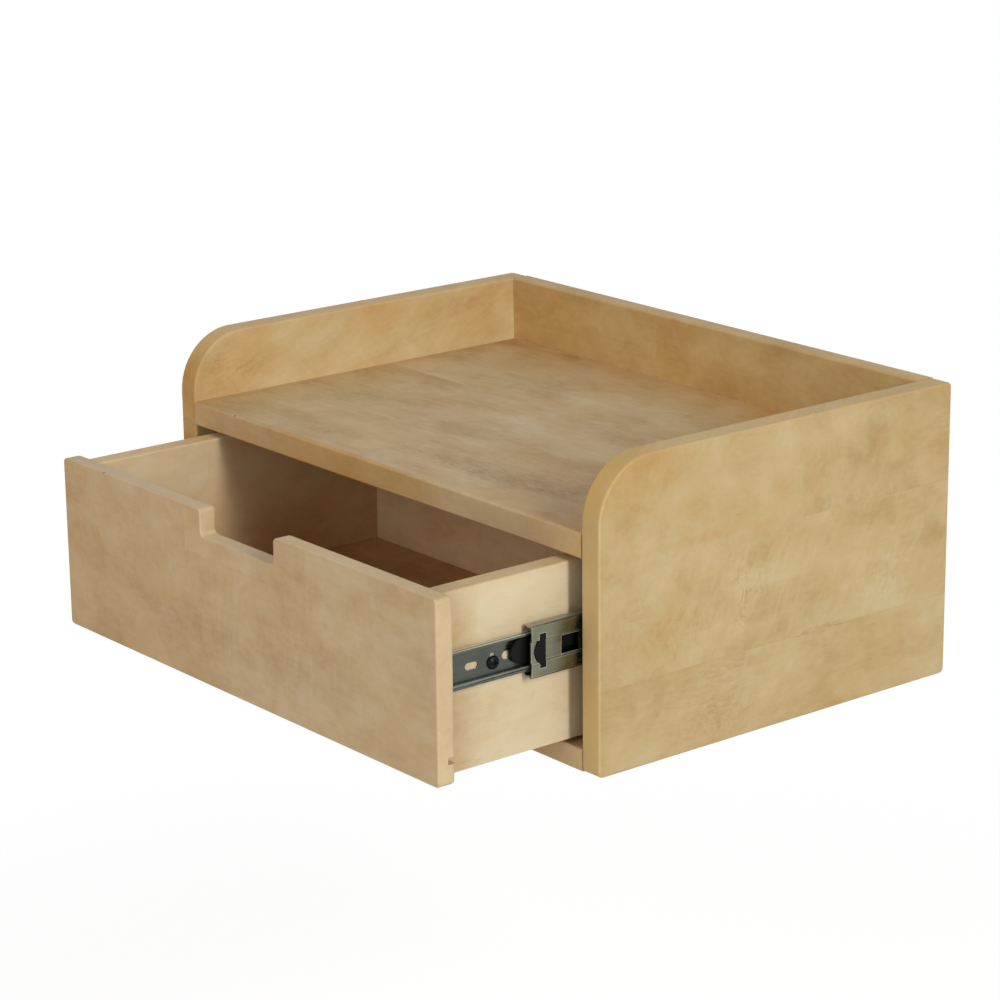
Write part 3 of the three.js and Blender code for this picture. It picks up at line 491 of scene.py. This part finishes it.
# %% Wood
def wood(name, tones, along, across, joints=(), tints=(0,), tinted_strips=(), seed=0.0, slant=0.0,
         curls=(), lean=0.0, crackles=(), flecks=(), nicks=(), stain_and_shade_bands=(), glows=(), warmth=0.3,
         contrast=1.0, end_stain=0.1, end_shade=0.12, edge_stain=None, edge_shade=0.0):
    """A board's material. tones are its dark, middle and pale colours, and along and across name
    the axes of its grain. joints are where boards meet, each with the place along the grain where
    it starts to show, and tints lighten or darken each board. A tinted strip has its own shade:
    where it starts and ends along the grain, where it lies across it, and the change; on the right
    side it is a board let in, on the drawer's side a painted shade. curls, crackles, flecks and
    glows are oval patches of curled figure, crackled figure, brown marks and warm stain: each has
    its middle, its reach along and across the grain, and its strength, and a glow below 0 takes
    stain away, on the drawer's side a painted lift against the slide's shadow. The bands of stain
    and shade are warm bands at a place on an axis, with their reach and strength: real stain along
    edges, painted shade by the shelf's rims and back and inside the drawer. nicks are small dark
    chips, each a point and a radius. The end values are for the end grain and the edge values for
    the narrow long edges."""
    grain = Grain(name, along, across, joints, tints, tinted_strips, seed, slant)
    streaks = grain.fibres(streak_scale)
    pores = (grain.fibres(pore_scale, detail=1) - pore_start).clamped()
    mottle = grain.fibres(mottle_scale, detail=3, roughness=0.6, distortion=0.6)
    shade = grain.fibres(cloud_scale, distortion=0.3) * cloud_amount + mottle * mottle_amount
    shade = grain.fibres(band_scale) * band_amount + streaks * streak_amount + shade
    shade = grain.fibres(speckle_scale) * speckle_amount + shade
    shade = curled(grain, shade, curls, lean)
    shade = crackled(grain, shade, crackles)
    shade = shade * contrast + grain.tint + middle_shade
    shade = flecked(grain, shade, flecks)
    shade = nicked(grain, shade, nicks)
    shade = shade - pores * pore_shade
    if joints:
        shade = shade - grain.glue * (1 - grain.end) * glue_shade
    shade = grain.end * end_shade + grain.edge * edge_shade + shade
    # A painted highlight along the sharp edges, broken into pieces by the mottle
    arris_glint = (mottle * glint_break_slope + glint_break_middle).clamped()
    shade = grain.arris(wood_arris, wood_arris_growth) * arris_glint * arris_highlight + shade
    stain_and_shade = stain_and_shade_of(grain, mottle, warmth, stain_and_shade_bands, glows, end_stain, edge_stain)
    dark, middle, pale = (colour(tone) for tone in tones)
    plain = grain.ramp(shade, (0.0, dark), (middle_shade, middle), (1.0, pale))
    base = grain.mix(stain_and_shade, plain, warm_tone, way="MULTIPLY")
    roughness = lacquer_roughness - streaks * streak_gloss + pores * pore_roughness
    height = streaks * streak_height - pores * pore_depth + mottle * mottle_height
    return grain.surface(Base_Color=base, Roughness=roughness, Specular_IOR_Level=lacquer_shine,
                         Normal=grain.bump(height, wood_bump, wood_relief))


# %% [markdown]
# ## The boards
# Every board gets a material of its own, with its grain along its length, the tones that its place
# in the light shows, and the marks that give it its character in the photograph. The tones are
# lit and shaded copies of one wood, which paint in some of the light and shade: the left side's
# warmer tones stand for light bounced onto its inner face, and the paler tones of the drawer's
# left side and back lift them out of the shade under the shelf. The seed moves
# it to another part of the noise, so that no two boards share a figure.

# %% Tones and places that the boards share
# Several tones are lighter or warmer copies of one wood, which paint in the light and shade of
# their place
carcass_tones = ("a08253", "c2b086", "d3c8a4")
shelf_tones = ("a08157", "c8af87", "dbc9a3")
rim_tones = ("987744", "c2a36e", "d8bf8d")
front_tones = ("a58766", "c7ad86", "d7c3a1")
left_tones = ("a88654", "ccb587", "decda5")
drawer_tones = ("b49c73", "d4c3a1", "e1d6ba")
drawer_left_tones = ("bda57a", "dfcdab", "ece1c4")
drawer_back_tones = ("c0a477", "e0cba7", "eddfc1")
ply_tones = ("97724a", "c29c6e", "d8b68a")
carcass_front = -0.1535
carcass_top = 0.203
carcass_inside = 0.2115
back_inside = 0.1385
drawer_inside = 0.1838
front_left_end = -0.209
front_top = 0.136
whole_length = -0.4

# %% The sides
# The narrow edges' shade is lifted paler; on the tops of the rim, on the sides and the back, this
# is a painted highlight
side_right = wood(
    "side_right_wood", carcass_tones, "Y", "Z", joints=((0.057, -0.16), (0.1365, -0.01)),
    tints=(-0.03, 0.03, -0.07), tinted_strips=((-0.0325, 0.110, 0.0571, 0.098, -0.09),), seed=0.7,
    curls=((0.030, 0.100, 0.19, 0.055, 0.42), (-0.05, 0.03, 0.10, 0.03, 0.25)), lean=-0.5,
    crackles=((-0.028, 0.104, 0.028, 0.016, 1.2), (0.096, 0.075, 0.022, 0.018, 1.2),
              (-0.034, 0.086, 0.006, 0.026, 1.3), (-0.08, 0.075, 0.04, 0.03, 0.6),
              (-0.04, 0.016, 0.06, 0.02, 0.6)),
    flecks=((-0.117, 0.100, 0.020, 0.018, 0.13), (-0.060, 0.026, 0.045, 0.028, 0.15),
            (-0.054, 0.048, 0.05, 0.010, 0.13), (0.035, 0.0575, 0.030, 0.003, 0.3)),
    stain_and_shade_bands=(("Z", carcass_top, 0.012, 0.15), ("Y", carcass_front, 0.010, 0.1)),
    glows=((-0.135, 0.185, 0.055, 0.035, 0.25), (-0.08, 0.139, 0.09, 0.004, 0.13)),
    warmth=0.35, contrast=0.85, end_stain=0.3, end_shade=0.7, edge_stain=0.7, edge_shade=0.42)
side_left = wood(
    "side_left_wood", left_tones, "Y", "Z", joints=((0.071, whole_length), (0.142, whole_length)),
    tints=(0.0, -0.04, 0.10), seed=2.9, slant=-0.25,
    curls=((0.0, 0.18, 0.2, 0.05, 0.18),), lean=1.0,
    flecks=((-0.125, 0.178, 0.035, 0.022, 0.28),),
    stain_and_shade_bands=(("Z", carcass_top, 0.016, 0.15), ("Y", carcass_front, 0.010, 0.15)),
    glows=((-0.12, 0.175, 0.06, 0.04, 0.2), (0.02, 0.19, 0.05, 0.02, 0.15)),
    warmth=0.25, contrast=1.1, end_stain=0.4, end_shade=-0.1, edge_stain=0.5, edge_shade=0.15)

# %% The shelf, the bottom and the back
shelf_wood = wood(
    "shelf_wood", shelf_tones, "X", "Y", joints=((-0.077, whole_length), (0.02, whole_length)),
    tints=(0.05, 0.03, 0.03), seed=4.3,
    flecks=((0.060, -0.112, 0.10, 0.018, 0.34), (0.13, -0.095, 0.07, 0.024, 0.28)),
    nicks=((-0.1623, carcass_front, 0.156, 0.0013),),
    # The shelf's stain is heavier by the right rim, a painted shadow of the rim, and towards the
    # back panel, a painted shade at its foot; it is also heavier in a narrow band at the left
    # rim's foot and along the front edge
    stain_and_shade_bands=(("Y", carcass_front, 0.004, 0.2), ("X", -carcass_inside, 0.012, 0.3),
            ("X", carcass_inside, 0.16, 0.5), ("Y", back_inside, 0.08, 0.5)),
    glows=((0.13, carcass_front, 0.08, 0.004, -0.35), (-0.03, carcass_front, 0.10, 0.004, 0.3)),
    warmth=0.15, contrast=1.25, edge_stain=0.55, edge_shade=0.12)
bottom_wood = wood(
    "bottom_wood", shelf_tones, "X", "Y", joints=((-0.06, whole_length), (0.05, whole_length)),
    tints=(0.0, 0.04, -0.03), seed=5.9, edge_stain=0.45, edge_shade=0.3)
back_wood = wood(
    "back_wood", rim_tones, "X", "Z", joints=((0.07, whole_length), (0.148, whole_length)),
    tints=(0.0, -0.03, 0.0), seed=7.7, warmth=0.25, edge_stain=0.2, edge_shade=0.2)

# %% The drawer
# The front's top edge is lifted paler, a painted highlight
front_wood = wood(
    "front_wood", front_tones, "X", "Z", tinted_strips=((-0.060, 0.10, 0.105, 0.137, 0.2),),
    seed=9.1, slant=0.04, nicks=((-0.158, 0.1355, -0.2635, 0.0012),),
    curls=((-0.02, 0.095, 0.26, 0.06, 0.3), (0.06, 0.04, 0.16, 0.03, 0.18)),
    stain_and_shade_bands=(("Z", front_top, 0.003, 0.15), ("X", front_left_end, 0.003, 0.3),
            ("X", front_left_end, 0.36, 0.3)),
    warmth=0.1, contrast=1.1, end_stain=-0.3, edge_stain=0.12, edge_shade=0.2)
# The drawer's right side: its tinted strip darkens it just behind the drawer front, a painted
# shade; its glows below 0 take stain away just above and below the slide, a painted lift against
# the slide's shadow; and its stain is heavier on its inner face, a painted warm shade inside the
# drawer
drawer_wood = wood(
    "drawer_wood", drawer_tones, "Y", "Z", tinted_strips=((-0.2515, -0.222, 0.0, 0.2, -0.4),),
    seed=11.3, stain_and_shade_bands=(("X", drawer_inside, 0.004, 0.25),),
    glows=((-0.18, 0.114, 0.06, 0.024, -0.4), (-0.18, 0.024, 0.06, 0.014, -0.4)),
    warmth=0.15, contrast=0.7, edge_stain=0.5, edge_shade=-0.05)
# The drawer's left side: its stain is heavier on its inner face and towards its bottom, a painted
# warm shade inside the drawer
drawer_left_wood = wood(
    "drawer_left_wood", drawer_left_tones, "Y", "Z", seed=12.7,
    stain_and_shade_bands=(("X", -drawer_inside, 0.004, 0.1), ("Z", 0.03, 0.08, 0.45)),
    warmth=0.15, contrast=0.9, edge_stain=0.5)
# The drawer's back: its stain is heavier towards its right end, a painted shade under the shelf
drawer_back_wood = wood(
    "drawer_back_wood", drawer_back_tones, "X", "Z", seed=12.1,
    stain_and_shade_bands=(("X", drawer_inside, 0.20, 0.5),), warmth=0.35, contrast=1.2)
drawer_bottom_wood = wood("drawer_bottom_wood", ply_tones, "X", "Y", seed=13.7, warmth=0.35)
dowel_wood = wood("dowel_wood", drawer_tones, "X", "Z", seed=15.1)
print("woods made:", len([m for m in bpy.data.materials if m.name.endswith("wood")]))

# %% [markdown]
# ## Zinc, steel and plastic
# The slide's members are rolled from zinc-plated strip. Rolling leaves faint lines along the
# strip and the plating is never quite even. Faces turned upwards and the sharp edges are painted
# paler and mirror less, a painted highlight where they catch the light. The drawer's screws are
# black, and so are the plastic catch, bumper and release lever.

# %% Zinc
roll_scale = (3, 900)
plating_scale = 55
line_amount = 0.5
dark_factor = 0.72
pale_factor = 1.25
dark_stop = 0.2
pale_stop = 0.8
# A painted highlight on faces turned upwards: where it starts and how fast it grows
upward_start = 0.88
upward_growth = 10.0
steel_arris = 0.0009
steel_arris_growth = 6
highlight_tone = colour("e0e3da")
highlight_mirror_loss = 0.5
cloud_roughness = 0.3
line_roughness = 0.2
zinc_bump = 0.05
zinc_relief = 0.0002


def zinc(name, written, roughness, unevenness, upward_highlight=0.0, arris_glint=0.0):
    """Zinc plate. upward_highlight is how much it pales on faces turned upwards and arris_glint
    how much at its sharp edges, both a painted highlight. A highlighted place mirrors less, by the
    highlight mirror loss."""
    made = Finish(name)
    place, facing = made.node("TexCoord", output=("Object", "Normal"))
    x, y, z = made.split(place).values()
    along, across = roll_scale
    lines = made.noise(made.vector(x * across, y * along, z * across))
    even_place = made.vector(x * plating_scale, y * plating_scale, z * plating_scale)
    cloud = made.noise(even_place, detail=3)
    shade = lines * line_amount + cloud * unevenness + middle_shade
    tone = colour(written)
    web = made.ramp(shade, (dark_stop, scaled(tone, dark_factor)),
                    (pale_stop, scaled(tone, pale_factor)))
    # Faces turned upwards and sharp edges are painted paler and mirror less: a painted highlight
    upward = made.split(facing)["Z"]
    painted_highlight = ((abs(upward) - upward_start) * upward_growth).clamped() * upward_highlight
    painted_highlight = (made.arris(steel_arris, steel_arris_growth) * arris_glint + painted_highlight).clamped()
    base = made.mix(painted_highlight, web, highlight_tone)
    rough = cloud * cloud_roughness + lines * line_roughness + roughness
    return made.surface(Base_Color=base, Metallic=1 - painted_highlight * highlight_mirror_loss, Roughness=rough,
                        Normal=made.bump(lines, zinc_bump, zinc_relief))


# %% Plastic and black screws
broad_scale = 60.0
moulded_pale_factor = 1.6
moulded_lift = 0.001
broad_slope = 2
broad_middle = 0.4
fine_roughness = 0.4
broad_roughness = 0.3
moulded_bump = 0.15
moulded_relief = 0.0001
moulded_shine = 0.12


def moulded(name, written, roughness, grain_scale):
    """Black plastic or lacquer with a fine even grain and broad paler clouds."""
    made = Finish(name)
    place = made.node("TexCoord", output="Object")
    fine = made.noise(place, scale=grain_scale)
    broad = made.noise(place, scale=broad_scale)
    tone = colour(written)
    pale = scaled(tone, moulded_pale_factor, moulded_lift)
    base = made.mix((broad * broad_slope + broad_middle).clamped(), tone, pale)
    rough = fine * fine_roughness + broad * broad_roughness + roughness
    return made.surface(Base_Color=base, Roughness=rough, Specular_IOR_Level=moulded_shine,
                        Normal=made.bump(fine, moulded_bump, moulded_relief))


# %% The metals and plastics
# Each metal's painted highlight on upward faces and sharp edges is set in its call
bright_zinc = zinc("bright_zinc", "7e7e6c", 0.32, 0.8, upward_highlight=0.35, arris_glint=0.7)
dark_zinc = zinc("dark_zinc", "5a5d56", 0.28, 0.5, upward_highlight=1.0, arris_glint=0.12)
ball_steel = zinc("ball_steel", "9fa099", 0.24, 0.4)
screw_zinc = zinc("screw_zinc", "b7b8ae", 0.22, 0.6)
black_screw = moulded("black_screw", "101010", 0.36, 3000)
black_plastic = moulded("black_plastic", "0b0b0a", 0.42, 2500)
small_finishes = (bright_zinc, dark_zinc, ball_steel, screw_zinc, black_screw, black_plastic)
print("metals and plastics made:", len(small_finishes))

# %% [markdown]
# ## Soft shading on the CAD pieces
# The CAD pieces arrive as separate flat triangles. Welding their corners and shading the shallow
# edges as one surface makes their rounds look round, while the true corners stay crisp. A node
# group does both without touching the CAD mesh, and a Weighted Normal modifier keeps the large
# flat faces flat. Rolled steel has no knife edges either: a small Bevel modifier breaks them on
# the slide's members, so that they catch the light as a thin bright line.

# %% Shading of the CAD pieces
weld_distance = 0.000002
smooth_below = math.radians(40)
steel_edge = 0.00022
edge_segments = 2


def shading_group():
    """Drops the stored normals, welds the corners and shades what is left soft below an angle."""
    group = bpy.data.node_groups.new("soft_shading", "GeometryNodeTree")
    for way in ("INPUT", "OUTPUT"):
        group.interface.new_socket("Geometry", in_out=way, socket_type="NodeSocketGeometry")
    kinds = {"in": "NodeGroupInput", "plain": "GeometryNodeRemoveAttribute",
             "weld": "GeometryNodeMergeByDistance", "faces": "GeometryNodeSetShadeSmooth",
             "edges": "GeometryNodeSetShadeSmooth", "angle": "GeometryNodeInputMeshEdgeAngle",
             "shallow": "FunctionNodeCompare", "out": "NodeGroupOutput"}
    made = {name: group.nodes.new(kind) for name, kind in kinds.items()}
    made["plain"].inputs["Name"].default_value = "custom_normal"
    made["weld"].inputs["Distance"].default_value = weld_distance
    made["faces"].domain = "FACE"
    made["edges"].domain = "EDGE"
    made["shallow"].operation = "LESS_THAN"
    made["shallow"].inputs[1].default_value = smooth_below
    chain = ["in", "plain", "weld", "faces", "edges", "out"]
    for first, second in zip(chain, chain[1:]):
        group.links.new(made[first].outputs[0], made[second].inputs[0])
    group.links.new(made["angle"].outputs["Unsigned Angle"], made["shallow"].inputs[0])
    group.links.new(made["shallow"].outputs[0], made["edges"].inputs["Shade Smooth"])
    return group


soft_shading = shading_group()


def shade_softly(piece):
    piece.modifiers.new("soft_shading", "NODES").node_group = soft_shading
    if "member" in piece.name:
        broken = piece.modifiers.new("broken_edges", "BEVEL")
        broken.width = steel_edge
        broken.segments = edge_segments
        broken.limit_method = "ANGLE"
        broken.angle_limit = smooth_below
        broken.harden_normals = True
    weighted = piece.modifiers.new("flat_faces", "WEIGHTED_NORMAL")
    weighted.keep_sharp = True


print("soft shading has", len(soft_shading.nodes), "nodes")

# %% [markdown]
# ## Dress the pieces
# Each piece takes the finish whose key is the longest start of its name, so that one line covers
# both of a pair and a longer key picks out the one that differs.

# %% Which finish goes on which piece
finishes = {
    "left_side_panel": side_left, "right_side_panel": side_right, "top_shelf": shelf_wood,
    "bottom_panel": bottom_wood, "back_panel": back_wood, "drawer_front": front_wood,
    "drawer_side": drawer_wood, "drawer_side_left": drawer_left_wood,
    "drawer_back": drawer_back_wood, "drawer_bottom": drawer_bottom_wood,
    "shelf_dowel": dowel_wood, "bottom_dowel": dowel_wood, "back_dowel": dowel_wood,
    "drawer_front_dowel": dowel_wood, "drawer_back_dowel": dowel_wood,
    "hanger_plate": screw_zinc, "hanger_screw": screw_zinc, "cabinet_screw": screw_zinc,
    "drawer_screw": black_screw, "slide_cabinet_member": bright_zinc,
    "slide_middle_member": bright_zinc, "slide_drawer_member": dark_zinc,
    "slide_catch": black_plastic, "slide_rear_bumper": black_plastic,
    "release_lever": black_plastic, "outer_ball_cage": ball_steel, "inner_ball_cage": ball_steel,
}

for name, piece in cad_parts.items():
    best = max((key for key in finishes if name.startswith(key)), key=len)
    piece.data.materials.clear()
    piece.data.materials.append(finishes[best])
    shade_softly(piece)
print("finishes used:", len(set(finishes.values())))

# %% [markdown]
# ## Finish
# Dressing the object must not make it grow. The view layer is brought up to date once the pieces
# are dressed.

# %% Finish
bpy.context.view_layer.update()
